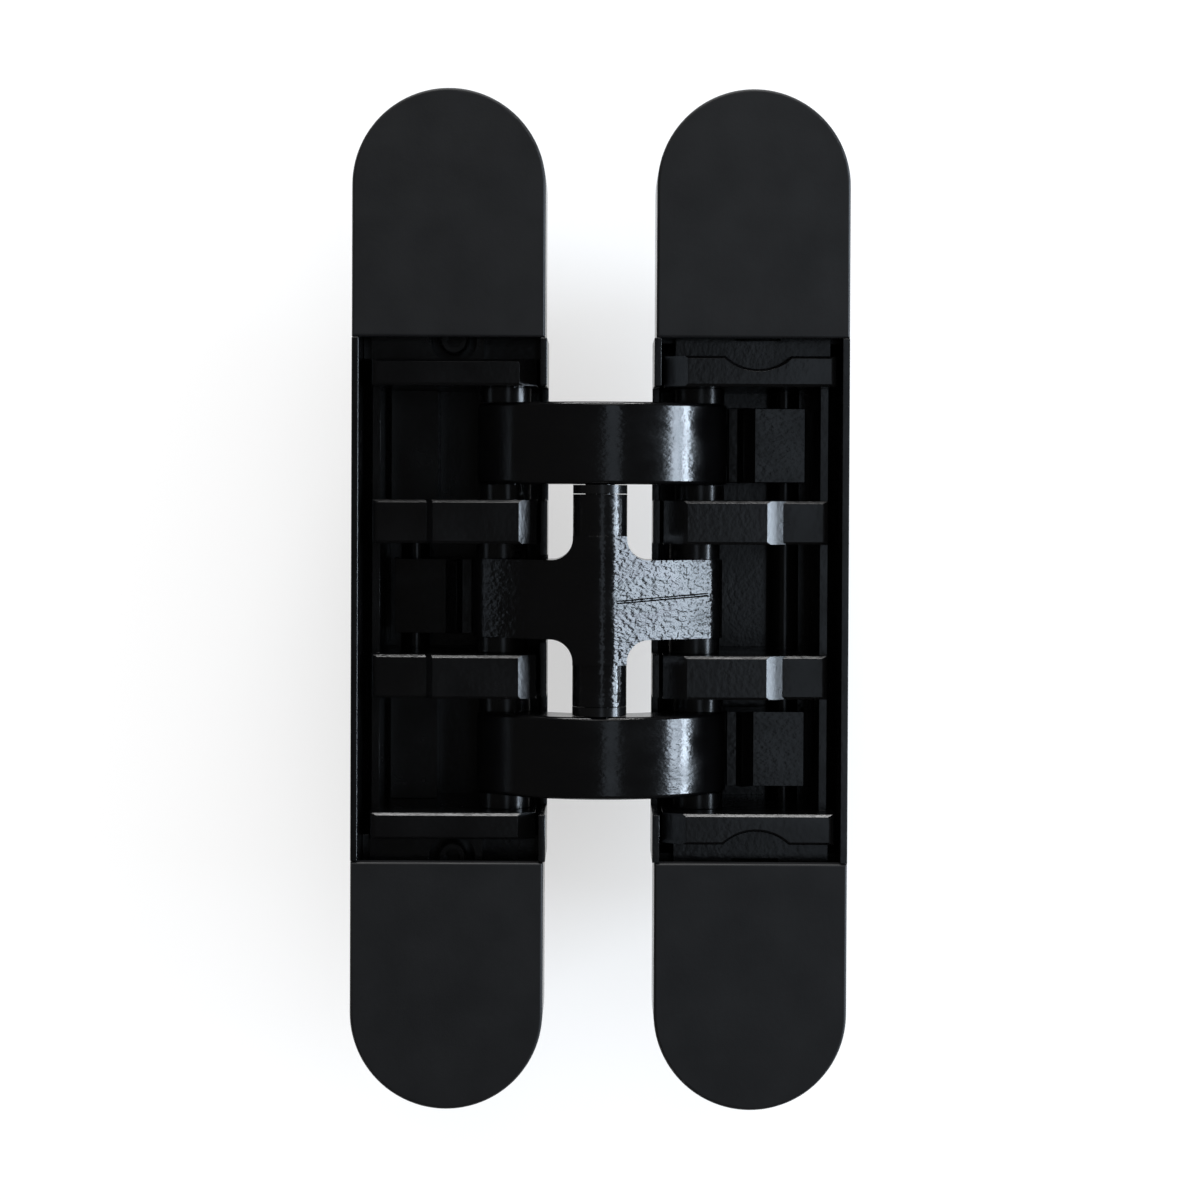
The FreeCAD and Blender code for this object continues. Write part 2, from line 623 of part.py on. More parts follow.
def make_outer_arm(rank_name, rank):
    body = new_body("OuterArm" + rank_name.capitalize())
    middle = mirrored(rank, "Layout.arm_middle")
    bar = new_sketch(body, "Bar", "XY_Plane", middle)
    bent_bar(bar, PIVOT_LEFT, FLOAT_RIGHT, "Sizes.bar_radius", "Sizes.bar_bend")
    solid = pad(body, bar, "Sizes.arm_height", both=True)
    low, high = value("Layout.arm_low"), value("Layout.arm_high")
    chamfer(body, solid, lambda p, e: near(abs(p.z), low) or near(abs(p.z), high),
            "Sizes.edge_chamfer")
    doc.recompute()
    fork_slot(body, FLOAT_RIGHT, middle)
    for name, spot, radius in (
        ("PivotBore", PIVOT_LEFT, "Sizes.pin_radius + Sizes.pin_play"),
        ("CentreBore", CENTRE, "Sizes.centre_pin_radius"),
        ("FloatBore", FLOAT_RIGHT, "Sizes.float_pin_radius"),
    ):
        bore = new_sketch(body, name, "XY_Plane", middle)
        circle(bore, spot[0], spot[1], radius)
        pocket(body, bore, "Sizes.arm_height + Sizes.cut_margin", both=True)
    keep(body, "outer_arm_" + rank_name)


def make_centre_link():
    """The cross: an upright barrel with one arm to each leaf."""
    plan = new_body("CrossPlan")
    for end, side, slope in ((FLOAT_LEFT, -1, "Layout.float_slope"), (PIVOT_RIGHT, 1, "Layout.pivot_slope")):
        arm = new_sketch(plan, "Arm", "XY_Plane")
        sloping_bar(arm, CENTRE, end, side, slope)
        pad(plan, arm, "2 * Layout.barrel_half", both=True)
        for spot in (CENTRE, end) if side < 0 else (end,):
            disc = new_sketch(plan, "End", "XY_Plane")
            circle(disc, spot[0], spot[1], "Sizes.bar_radius")
            pad(plan, disc, "2 * Layout.barrel_half", both=True)
    front = new_body("CrossFront")
    half = "Layout.centre_half"
    reach = "2 * Sizes.float_across"
    tall = "Layout.neck_half"
    wide = "Sizes.barrel_radius"
    outline = new_sketch(front, "Outline", "XZ_Plane", "Layout.bar_block")
    polygon(outline, [
        (reach, "-" + half), (reach, half), (wide, half), (wide, tall),
        ("-" + wide, tall), ("-" + wide, half), ("-" + reach, half), ("-" + reach, "-" + half),
        ("-" + wide, "-" + half), ("-" + wide, "-" + tall), (wide, "-" + tall), (wide, "-" + half),
    ])
    cross = pad(front, outline, "2 * Layout.bar_block", back=True)
    corner_x, corner_z = value(wide), value(half)
    fillet(front, cross, lambda p, e: near(abs(p.x), corner_x) and near(abs(p.z), corner_z)
           and e.BoundBox.YLength > 1, "Sizes.cross_round")
    doc.recompute()
    shaped = doc.addObject("Part::Common", "CrossShaped")
    shaped.Base = plan
    shaped.Tool = front
    barrel = bind(doc.addObject("Part::Cylinder", "Barrel"), Radius="Sizes.barrel_radius",
                  Height="2 * Layout.barrel_half", Placement__Base__y="Sizes.centre_deep",
                  Placement__Base__z="-Layout.barrel_half")
    whole = doc.addObject("Part::MultiFuse", "CrossWhole")
    whole.Shapes = [shaped, barrel]
    cuts = []
    slot = bind(doc.addObject("Part::Cylinder", "CrossEye"), Radius="Sizes.tongue_eye + Sizes.eye_play",
                Height="Sizes.slot_height", Placement__Base__x="-Sizes.float_across",
                Placement__Base__y="Sizes.float_deep", Placement__Base__z="-Sizes.slot_height / 2")
    cuts.append(slot)
    fan = new_body("CrossFan")
    sector = new_sketch(fan, "Fan", "XY_Plane")
    polygon(sector, slot_corners(FLOAT_LEFT, -1))
    pad(fan, sector, "Sizes.slot_height", both=True)
    cuts.append(fan)
    for name, spot, radius in (
        ("CrossPivotBore", PIVOT_RIGHT, "Sizes.pin_radius + Sizes.pin_play"),
        ("CrossCentreBore", CENTRE, "Sizes.centre_pin_radius + Sizes.pin_play"),
        ("CrossFloatBore", FLOAT_LEFT, "Sizes.float_pin_radius"),
    ):
        bore = bind(doc.addObject("Part::Cylinder", name), Radius=radius,
                    Height="2 * Layout.barrel_half + 2 * Sizes.cut_margin", Placement__Base__x=spot[0],
                    Placement__Base__y=spot[1], Placement__Base__z="-Layout.barrel_half - Sizes.cut_margin")
        cuts.append(bore)
    tools = doc.addObject("Part::MultiFuse", "CrossCuts")
    tools.Shapes = cuts
    link = doc.addObject("Part::Cut", "CentreLink")
    link.Base = whole
    link.Tool = tools
    keep(link, "centre_link")


# Tail links: an eye on the anchor pin, and a thinner tongue in the bar's fork

def make_tail(label, side, middle):
    eye = (mirrored(side, "Sizes.anchor_across"), "Sizes.anchor_deep")
    tip = (mirrored(side, "Sizes.float_across"), "Sizes.float_deep")
    slope = "Layout.tail_slope" if side > 0 else "180 deg - Layout.tail_slope"
    stem_name = "".join(word.capitalize() for word in label.split("_"))

    def stadium(name, height):
        bar = bind(doc.addObject("Part::Box", name + "Bar"), Length="Layout.tail_length",
                   Width="2 * Sizes.tail_radius", Height=height)
        turn = "create(<<rotation>>; create(<<vector>>; 0; 0; 1); %s)" % slope
        across = "%s + Sizes.tail_radius * sin(%s)" % (tip[0], slope)
        deep = "%s - Sizes.tail_radius * cos(%s)" % (tip[1], slope)
        spot = "create(<<vector>>; %s; %s; %s - (%s) / 2)" % (across, deep, middle, height)
        bar.setExpression("Placement", "create(<<placement>>; %s; %s)" % (spot, turn))
        pieces = [bar]
        for number, end in enumerate((eye, tip)):
            pieces.append(bind(doc.addObject("Part::Cylinder", "%sEnd%d" % (name, number)),
                               Radius="Sizes.tail_radius", Height=height, Placement__Base__x=end[0],
                               Placement__Base__y=end[1],
                               Placement__Base__z="%s - (%s) / 2" % (middle, height)))
        joined = doc.addObject("Part::MultiFuse", name)
        joined.Shapes = pieces
        joined.Refine = True
        return joined

    def cylinder(name, end, radius, height):
        return bind(doc.addObject("Part::Cylinder", name), Radius=radius, Height=height,
                    Placement__Base__x=end[0], Placement__Base__y=end[1],
                    Placement__Base__z="%s - (%s) / 2" % (middle, height))

    def turned(item, angle, height):
        turn = "create(<<rotation>>; create(<<vector>>; 0; 0; 1); %s)" % angle
        spot = "create(<<vector>>; %s; %s; %s - (%s) / 2)" % (tip[0], tip[1], middle, height)
        item.setExpression("Placement", "create(<<placement>>; %s; %s)" % (spot, turn))
        return item

    full = stadium(stem_name + "Stem", "Sizes.tail_height")
    shoulder = doc.addObject("Part::Cut", stem_name + "Shoulder")
    shoulder.Base = full
    shoulder.Tool = cylinder(stem_name + "Clear", tip, "Sizes.tail_shoulder",
                             "Sizes.tail_height + Sizes.cut_margin")
    thin = "(Sizes.slot_height - 2 * Sizes.tongue_play)"
    outer = "(Sizes.bar_radius + Sizes.hook_play + Sizes.hook_wide)"
    past = "Sizes.hook_past * 1 deg"
    reach = "(Sizes.tongue_turn * 1 deg)"
    start = "%s - %s" % (slope, past) if side > 0 else "%s - %s - %s" % (slope, reach, past)
    sector = bind(doc.addObject("Part::Cylinder", stem_name + "Sector"), Radius=outer, Height=thin,
                  Angle="%s + 2 * %s" % (reach, past))
    turned(sector, start, thin)
    hook = doc.addObject("Part::Cut", stem_name + "Hook")
    hook.Base = sector
    hook.Tool = cylinder(stem_name + "HookClear", tip, "Sizes.bar_radius + Sizes.hook_play", "Sizes.tail_height")
    eye_disc = cylinder(stem_name + "EyeDisc", tip, "Sizes.tongue_eye", thin)
    strip = bind(doc.addObject("Part::Box", stem_name + "Strip"), Length=outer + " - Sizes.hook_skin",
                 Width="2 * Sizes.tongue_half", Height=thin)
    heading = "(%s + %s)" % (slope, reach) if side > 0 else "(%s - %s)" % (slope, reach)
    spot = "create(<<vector>>; %s + Sizes.tongue_half * sin(%s); %s - Sizes.tongue_half * cos(%s); %s - %s / 2)" % (
        tip[0], heading, tip[1], heading, middle, thin)
    strip.setExpression("Placement", "create(<<placement>>; %s; create(<<rotation>>;"
                        " create(<<vector>>; 0; 0; 1); %s))" % (spot, heading))
    block_end = "Sizes.anchor_across + Sizes.tail_block_past"
    block_left = "Sizes.tail_block_start" if side > 0 else "-(%s)" % block_end
    block = bind(doc.addObject("Part::Box", stem_name + "Block"),
                 Length=block_end + " - Sizes.tail_block_start", Width="Sizes.anchor_deep - Sizes.tail_front",
                 Height="Sizes.tail_height", Placement__Base__x=block_left,
                 Placement__Base__y="Sizes.tail_front",
                 Placement__Base__z="%s - Sizes.tail_height / 2" % middle)
    whole = doc.addObject("Part::MultiFuse", stem_name + "Whole")
    whole.Shapes = [shoulder, hook, eye_disc, strip, block]
    whole.Refine = True
    bores = doc.addObject("Part::MultiFuse", stem_name + "Bores")
    bores.Shapes = [
        cylinder(stem_name + "EyeBore", eye, "Sizes.anchor_pin_radius + Sizes.pin_play",
                 "Sizes.tail_height + Sizes.cut_margin"),
        cylinder(stem_name + "TipBore", tip, "Sizes.float_pin_radius + Sizes.float_play",
                 "Sizes.tail_height + Sizes.cut_margin"),
    ]
    tail = doc.addObject("Part::Cut", stem_name)
    tail.Base = whole
    tail.Tool = bores
    keep(tail, label)


# Pins, bushes and spacers, all turned

def make_pin(label, spot, radius, low, high):
    body = new_body("".join(word.capitalize() for word in label.split("_")))
    section = new_sketch(body, "Section", "XY_Plane", low)
    circle(section, spot[0], spot[1], radius)
    rod = pad(body, section, "%s - (%s)" % (high, low))
    bottom, top = value(low), value(high)
    chamfer(body, rod, lambda p, e: (near(p.z, bottom) or near(p.z, top)) and e.isClosed(),
            "Sizes.edge_chamfer / 2")
    keep(body, label)


def bored(label, spot, bore, levels, make_solid):
    """A group of equal pieces on one axis, each its own solid with a bore through it."""
    pieces = []
    for number, (low, high) in enumerate(levels):
        stem = "".join(word.capitalize() for word in label.split("_")) + str(number)
        hole = bind(doc.addObject("Part::Cylinder", stem + "Bore"), Radius=bore,
                    Height="%s - (%s)" % (high, low), Placement__Base__x=spot[0],
                    Placement__Base__y=spot[1], Placement__Base__z=low)
        piece = doc.addObject("Part::Cut", stem)
        piece.Base = make_solid(stem, low, high)
        piece.Tool = hole
        pieces.append(piece)
    group = doc.addObject("Part::Compound", label.replace("_", "").capitalize())
    group.Links = pieces
    return keep(group, label)


def make_rings(label, spot, outer, inner, levels):
    def ring(stem, low, high):
        return bind(doc.addObject("Part::Cylinder", stem + "Outer"), Radius=outer,
                    Height="%s - (%s)" % (high, low), Placement__Base__x=spot[0],
                    Placement__Base__y=spot[1], Placement__Base__z=low)
    return bored(label, spot, inner, levels, ring)


def make_blocks(label, spot, half, inner, levels):
    def block(stem, low, high):
        return bind(doc.addObject("Part::Box", stem + "Outer"), Length="2 * " + half, Width="2 * " + half,
                    Height="%s - (%s)" % (high, low), Placement__Base__x="%s - %s" % (spot[0], half),
                    Placement__Base__y="%s - %s" % (spot[1], half), Placement__Base__z=low)
    return bored(label, spot, inner, levels, block)


for side_name, side in SIDES.items():
    make_case(side_name, side)
    make_carrier(side_name, side)
    for rank_name, rank in RANKS.items():
        make_cap(side_name, side, rank_name, rank)
        make_adjust_screw(side_name, side, rank_name, rank)

for rank_name, rank in RANKS.items():
    make_outer_arm(rank_name, rank)
make_centre_link()

make_tail("tail_link_left", -1, "0")
make_tail("tail_link_right_top", 1, "Layout.arm_middle")
make_tail("tail_link_right_bottom", 1, "-Layout.arm_middle")

GAP = "Sizes.pin_end_gap"
PLAY = "Sizes.row_play"
make_pin("centre_pin", CENTRE, "Sizes.centre_pin_radius",
         "-Layout.arm_high + " + GAP, "Layout.arm_high - " + GAP)
make_pin("pivot_pin_right", PIVOT_RIGHT, "Sizes.pin_radius",
         "-Layout.inner_rib_high + " + GAP, "Layout.inner_rib_high - " + GAP)
make_pin("float_pin_left", FLOAT_LEFT, "Sizes.float_pin_radius",
         "-Layout.inner_rib_low + " + GAP, "Layout.inner_rib_low - " + GAP)
for name, span in (
    ("top", ("Layout.inner_rib_low + " + GAP, "Layout.end_high_left - " + GAP)),
    ("bottom", ("-Layout.end_high_left + " + GAP, "-Layout.inner_rib_low - " + GAP)),
):
    make_pin("pivot_pin_left_" + name, PIVOT_LEFT, "Sizes.pin_radius", *span)
for name, span in (
    ("top", ("Layout.inner_rib_high + " + GAP, "Layout.end_rib_low - " + GAP)),
    ("bottom", ("-Layout.end_rib_low + " + GAP, "-Layout.inner_rib_high - " + GAP)),
):
    make_pin("float_pin_right_" + name, FLOAT_RIGHT, "Sizes.float_pin_radius", *span)
for name, side in SIDES.items():
    make_pin("anchor_pin_" + name, (mirrored(side, "Sizes.anchor_across"), "Sizes.anchor_deep"),
             "Sizes.anchor_pin_radius", "-Layout.end_high_%s + %s" % (name, GAP),
             "Layout.end_high_%s - %s" % (name, GAP))

arm_inner = ("Layout.inner_rib_high + " + PLAY, "Layout.arm_low - " + PLAY)
arm_outer = ("Layout.arm_high + " + PLAY, "Layout.end_rib_low - " + PLAY)
centre_gap = ("Layout.centre_half + " + PLAY, "Layout.inner_rib_low - " + PLAY)


def below(span):
    """The same span on the lower half."""
    return ("-(%s)" % span[1], "-(%s)" % span[0])


arm_spans = [arm_inner, arm_outer, below(arm_inner), below(arm_outer)]
centre_spans = [centre_gap, below(centre_gap)]
collar = ("Layout.barrel_half + " + PLAY, "Layout.arm_low - " + PLAY)
make_rings("pivot_bushes_left", PIVOT_LEFT, "Sizes.bush_radius", "Sizes.pin_radius", arm_spans)
make_rings("pivot_bushes_right", PIVOT_RIGHT, "Sizes.bush_radius", "Sizes.pin_radius", centre_spans)
make_rings("float_bushes_left", FLOAT_LEFT, "Sizes.bush_radius", "Sizes.float_pin_radius", centre_spans)
make_rings("float_bushes_right", FLOAT_RIGHT, "Sizes.bush_radius", "Sizes.float_pin_radius", arm_spans)
make_rings("barrel_collars", CENTRE, "Sizes.barrel_radius", "Sizes.centre_pin_radius",
           [collar, below(collar)])
spacer = ("Layout.inner_rib_high + " + PLAY, "Layout.end_rib_low - " + PLAY)
make_blocks("anchor_spacers_left", ("-Sizes.anchor_across", "Sizes.anchor_deep"), "Sizes.spacer_half",
            "Sizes.anchor_pin_radius", [spacer, below(spacer)])

doc.recompute()
for item in doc.Objects:
    if "Invalid" in item.State or "Error" in item.State:
        raise RuntimeError("%s failed: %s" % (item.Label, item.State))
for item in PARTS:
    if item.Shape.isNull() or not item.Shape.isValid() or not item.Shape.Solids:
        raise RuntimeError("%s has no valid solid" % item.Label)

os.makedirs("parts", exist_ok=True)
for item in PARTS:
    item.Shape.exportStep("parts/%s.step" % item.Label)
    print("%-26s %2d solids %9.1f mm3" % (item.Label, len(item.Shape.Solids), item.Shape.Volume))
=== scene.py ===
# %% [markdown]
# # A concealed door hinge, finished in black powder coat
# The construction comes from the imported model, in metres. This script gives each piece its finish,
# eases the corners that a coat of powder would round, and sets up the camera and the light of the
# photograph.

# %% Load the frame
import json
import math
import bpy
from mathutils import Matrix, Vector

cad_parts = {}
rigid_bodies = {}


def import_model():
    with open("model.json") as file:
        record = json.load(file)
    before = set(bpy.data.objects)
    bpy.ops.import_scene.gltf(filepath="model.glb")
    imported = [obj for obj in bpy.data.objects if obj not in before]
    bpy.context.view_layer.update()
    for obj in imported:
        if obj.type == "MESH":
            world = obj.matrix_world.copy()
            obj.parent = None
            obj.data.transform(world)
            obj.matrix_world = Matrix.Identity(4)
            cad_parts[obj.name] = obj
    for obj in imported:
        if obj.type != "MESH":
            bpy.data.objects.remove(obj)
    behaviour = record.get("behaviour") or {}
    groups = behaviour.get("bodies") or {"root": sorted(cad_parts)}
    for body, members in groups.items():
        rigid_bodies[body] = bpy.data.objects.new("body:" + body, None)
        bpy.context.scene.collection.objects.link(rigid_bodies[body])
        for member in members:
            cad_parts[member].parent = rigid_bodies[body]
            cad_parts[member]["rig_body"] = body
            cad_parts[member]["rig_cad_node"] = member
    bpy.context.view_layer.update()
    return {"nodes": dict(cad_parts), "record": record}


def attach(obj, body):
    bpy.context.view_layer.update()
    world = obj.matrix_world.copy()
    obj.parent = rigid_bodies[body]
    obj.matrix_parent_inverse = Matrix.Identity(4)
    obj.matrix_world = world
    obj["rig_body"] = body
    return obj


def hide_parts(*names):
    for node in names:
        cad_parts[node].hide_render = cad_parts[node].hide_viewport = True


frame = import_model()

MM = 0.001
body_of = {node: body for body, nodes in frame["record"]["behaviour"]["bodies"].items() for node in nodes}
slot_of = {row["node"]: row["material_slot"] for row in frame["record"]["subparts"]}

# %% [markdown]
# ## Black finishes
# Every metal piece wears a black coat, so the finishes differ in gloss and in texture, not in colour.
# A powder coat flows out before it sets and keeps a fine orange peel, which shows only where light
# glances off it. One builder makes them all: a Principled shader, noise for the peel as bump, and a
# slower noise that varies the roughness. Object coordinates are in metres and don't move with the
# camera, so the texture keeps its real size. The arms and tail links came out of the coat smoother
# than the centre link, so they have a calmer finish of their own.


# %% One builder for every finish
def black_finish(name, colour, roughness, peel_scale, peel_depth, grain_scale, grain_depth, uneven=0.06,
                 run=1.0):
    """A coated black with two sizes of bump and a wandering roughness; run flattens the peel along Z."""
    material = bpy.data.materials.new(name)
    material.use_nodes = True
    nodes, links = material.node_tree.nodes, material.node_tree.links
    shader = nodes["Principled BSDF"]
    place = nodes.new("ShaderNodeTexCoord")
    stretch = nodes.new("ShaderNodeMapping")
    stretch.inputs["Scale"].default_value = (1.0, 1.0, run)
    links.new(place.outputs["Object"], stretch.inputs["Vector"])

    def noise(scale, detail):
        texture = nodes.new("ShaderNodeTexNoise")
        texture.inputs["Scale"].default_value = scale
        texture.inputs["Detail"].default_value = detail
        links.new(stretch.outputs["Vector"], texture.inputs["Vector"])
        return texture

    def wander(texture, low, high):
        span = nodes.new("ShaderNodeMapRange")
        span.inputs["From Min"].default_value = 0.3
        span.inputs["From Max"].default_value = 0.7
        span.inputs["To Min"].default_value = low
        span.inputs["To Max"].default_value = high
        links.new(texture.outputs["Fac"], span.inputs["Value"])
        return span

    slow = noise(160.0, 3.0)
    gloss = wander(slow, roughness - uneven, roughness + uneven)
    links.new(gloss.outputs["Result"], shader.inputs["Roughness"])
    tone = nodes.new("ShaderNodeMix")
    tone.data_type = "RGBA"
    tone.inputs["A"].default_value = (*[c * 0.85 for c in colour], 1)
    tone.inputs["B"].default_value = (*[c * 1.15 for c in colour], 1)
    links.new(slow.outputs["Fac"], tone.inputs["Factor"])
    links.new(tone.outputs["Result"], shader.inputs["Base Color"])
    peel = nodes.new("ShaderNodeBump")
    peel.inputs["Strength"].default_value = 1.0
    peel.inputs["Distance"].default_value = peel_depth
    links.new(noise(peel_scale, 1.5).outputs["Fac"], peel.inputs["Height"])
    grain = nodes.new("ShaderNodeBump")
    grain.inputs["Strength"].default_value = 1.0
    grain.inputs["Distance"].default_value = grain_depth
    links.new(noise(grain_scale, 4.0).outputs["Fac"], grain.inputs["Height"])
    links.new(peel.outputs["Normal"], grain.inputs["Normal"])
    links.new(grain.outputs["Normal"], shader.inputs["Normal"])
    return material


BLACK = (0.0020, 0.0020, 0.0022)
FINISHES = {
    "housing_black": black_finish("housing_black", BLACK, 0.24, 1500, 0.000018, 3500, 0.000003),
    "cap_black": black_finish("cap_black", (0.0050, 0.0052, 0.0060), 0.52, 1500, 0.00001, 6000, 0.000006),
    "carrier_black": black_finish("carrier_black", BLACK, 0.22, 1500, 0.000018, 3000, 0.000003),
    "link_black": black_finish("link_black", BLACK, 0.18, 1300, 0.00007, 3600, 0.000004, run=1.9),
    "pin_black": black_finish("pin_black", (0.003, 0.003, 0.0032), 0.20, 1200, 0.00001, 5000, 0.000002),
    "bush_black": black_finish("bush_black", (0.003, 0.003, 0.0032), 0.24, 1200, 0.00001, 5000, 0.000002),
    "screw_black": black_finish("screw_black", (0.003, 0.003, 0.0032), 0.22, 1200, 0.00001, 5000, 0.000002),
}
SMOOTH_LINK = black_finish("link_black_smooth", BLACK, 0.18, 1300, 0.000026, 3600, 0.000003, run=1.9)
print("finishes", sorted(FINISHES), "and", SMOOTH_LINK.name)

# %% [markdown]
# ## Eased corners
# On the real hinge no corner is razor sharp: castings have a small radius and the coat adds more.
# These thin rounds catch the light and draw the bright outlines that the photograph shows. A rounded
# corner could come from a shader, but that is lost in an export, so each piece is a copy of its solid
# with merged triangles and a real bevel.


# %% The inner wall cut down
WALL_CUT_SIZE = (1.6 * MM, 4.9 * MM, 22.8 * MM)
WALL_CUT_OUT, WALL_CUT_DEEP = 6.5 * MM, 1.95 * MM


def lowered_wall(piece, side):
    """Cuts the inner wall down in front of the two inner ribs, so that light reaches their bevels."""
    bpy.ops.mesh.primitive_cube_add(size=1.0)
    cutter = bpy.context.object
    cutter.scale = WALL_CUT_SIZE
    cutter.location = (side * WALL_CUT_OUT, WALL_CUT_DEEP, 0)
    bpy.ops.object.transform_apply(location=True, rotation=True, scale=True)
    cut = piece.modifiers.new("Wall", "BOOLEAN")
    cut.operation = "DIFFERENCE"
    cut.solver = "EXACT"
    cut.object = cutter
    bpy.context.view_layer.objects.active = piece
    bpy.ops.object.modifier_apply(modifier=cut.name)
    bpy.data.objects.remove(cutter, do_unlink=True)
    bpy.ops.object.select_all(action="DESELECT")
    piece.select_set(True)


# %% A copy with eased corners
SAME_POINT = 0.002 * MM
ONE_PLANE, CORNER, ROUND = math.radians(0.6), math.radians(30), math.radians(50)


def eased(node, width, segments=2):
    """Stands a softened copy in for a CAD node."""
    bpy.ops.object.select_all(action="DESELECT")
    source = frame["nodes"][node]
    piece = source.copy()
    piece.data = source.data.copy()
    piece.name = node + "_coated"
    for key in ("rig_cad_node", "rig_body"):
        del piece[key]
    piece.parent = None
    bpy.context.scene.collection.objects.link(piece)
    bpy.context.view_layer.objects.active = piece
    piece.select_set(True)
    bpy.ops.object.mode_set(mode="EDIT")
    bpy.ops.mesh.select_all(action="SELECT")
    bpy.ops.mesh.remove_doubles(threshold=SAME_POINT)
    bpy.ops.mesh.dissolve_limited(angle_limit=ONE_PLANE)
    bpy.ops.object.mode_set(mode="OBJECT")
    if node.startswith("case"):
        lowered_wall(piece, -1 if node.endswith("left") else 1)
    bevel = piece.modifiers.new("Coat", "BEVEL")
    bevel.width = width
    bevel.segments = segments
    bevel.limit_method = "ANGLE"
    bevel.angle_limit = CORNER
    bpy.ops.object.modifier_apply(modifier=bevel.name)
    bpy.ops.object.shade_smooth_by_angle(angle=ROUND)
    flats = piece.modifiers.new("Flats", "WEIGHTED_NORMAL")
    flats.mode = "FACE_AREA"
    flats.weight = 100
    flats.keep_sharp = True
    bpy.ops.object.modifier_apply(modifier=flats.name)
    piece.data.materials.clear()
    smoother = node.startswith(("outer", "tail"))
    piece.data.materials.append(SMOOTH_LINK if smoother else FINISHES[slot_of[node]])
    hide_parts(node)
    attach(piece, body_of[node])
    return piece


EASED = {
    "case": 0.15 * MM, "carrier": 0.22 * MM, "cap": 0.08 * MM, "outer": 0.2 * MM, "centre_link": 0.2 * MM,
    "tail": 0.2 * MM,
}
for node in sorted(frame["nodes"]):
    width = next((w for start, w in EASED.items() if node.startswith(start)), None)
    if width:
        piece = eased(node, width)
        print("%-24s %6d faces" % (piece.name, len(piece.data.polygons)))

# %% [markdown]
# ## The parting line
# The casting's mould left a fine raised line across the bright face of the centre link. It is a thin
# rod sunk into that face, so only a low ridge stands proud.

# %% A ridge across the centre link's bright face
link_mesh = frame["nodes"]["centre_link"].data
facet = [p for p in link_mesh.polygons if 0.50 < p.normal.x < 0.56 and p.normal.y < -0.8]
lean = facet[0].normal.copy()
across = sorted((link_mesh.vertices[i].co.copy() for p in facet for i in p.vertices), key=lambda c: c.x)
rod_radius, rod_sunk, rod_end = 0.28 * MM, 0.17 * MM, 0.02
start = Vector((across[0].x, across[0].y, -0.20 * MM)) - lean * rod_sunk
end = Vector((across[-1].x, across[-1].y, 0.55 * MM)) - lean * rod_sunk
start, end = start.lerp(end, rod_end), start.lerp(end, 1 - rod_end)
print("ridge from", [round(c / MM, 2) for c in start], "to", [round(c / MM, 2) for c in end])
bpy.ops.mesh.primitive_cylinder_add(vertices=12, radius=rod_radius, depth=(end - start).length)
ridge = bpy.context.object
ridge.name = "parting_line"
ridge.rotation_mode = "QUATERNION"
ridge.rotation_quaternion = (end - start).to_track_quat("Z", "Y")
ridge.location = start.lerp(end, 0.5)
bpy.ops.object.transform_apply(location=True, rotation=True, scale=True)
bpy.ops.object.shade_smooth_by_angle(angle=ROUND)
ridge.data.materials.append(FINISHES["link_black"])
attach(ridge, "centre_link")

# %% [markdown]
# ## Turned pieces
# Pins, bushes, collars and screws keep their CAD shape. They only get their finish.

# %% Finish the turned pieces
for node, item in frame["nodes"].items():
    if item.hide_render:
        continue
    item.data.materials.clear()
    item.data.materials.append(FINISHES[slot_of[node]])
    print("%-24s %s" % (node, slot_of[node]))

# %% [markdown]
# ## The backdrop
# The photograph shows the hinge lying on white, with a soft shadow round the leaves. The sheet behind
# it is lit partly by its own light, so the shadow stays pale, and its back is clear so that the hinge
# can be seen from behind.

# %% A white sheet behind the hinge
bpy.ops.object.select_all(action="DESELECT")
sheet_size, sheet_behind = 4.0, 0.036
upright = (math.radians(90), 0, 0)
bpy.ops.mesh.primitive_plane_add(size=sheet_size, location=(0, sheet_behind, 0), rotation=upright)
sheet = bpy.context.object
sheet.name = "backdrop"
bpy.ops.object.transform_apply(location=True, rotation=True, scale=True)
paper = bpy.data.materials.new("white_sheet")
paper.use_nodes = True
nodes, links = paper.node_tree.nodes, paper.node_tree.links
nodes.clear()
out = nodes.new("ShaderNodeOutputMaterial")
matt = nodes.new("ShaderNodeBsdfDiffuse")
matt.inputs["Color"].default_value = (0.52, 0.52, 0.52, 1)
glow = nodes.new("ShaderNodeEmission")
glow.inputs["Color"].default_value = (1, 1, 1, 1)
glow.inputs["Strength"].default_value = 0.49
rays = nodes.new("ShaderNodeLightPath")
seen = nodes.new("ShaderNodeMath")
seen.operation = "MAXIMUM"
links.new(rays.outputs["Is Camera Ray"], seen.inputs[0])
links.new(rays.outputs["Is Glossy Ray"], seen.inputs[1])
seen_all = nodes.new("ShaderNodeMath")
seen_all.operation = "MAXIMUM"
links.new(seen.outputs["Value"], seen_all.inputs[0])
links.new(rays.outputs["Is Transmission Ray"], seen_all.inputs[1])
both = nodes.new("ShaderNodeAddShader")
lit = nodes.new("ShaderNodeMixShader")
links.new(seen_all.outputs["Value"], lit.inputs["Fac"])
links.new(matt.outputs["BSDF"], lit.inputs[1])
links.new(both.outputs["Shader"], lit.inputs[2])
links.new(matt.outputs["BSDF"], both.inputs[0])
links.new(glow.outputs["Emission"], both.inputs[1])
face = nodes.new("ShaderNodeNewGeometry")
clear = nodes.new("ShaderNodeBsdfTransparent")
side = nodes.new("ShaderNodeMixShader")
links.new(face.outputs["Backfacing"], side.inputs["Fac"])
links.new(lit.outputs["Shader"], side.inputs[1])
links.new(clear.outputs["BSDF"], side.inputs[2])
links.new(side.outputs["Shader"], out.inputs["Surface"])
sheet.data.materials.append(paper)
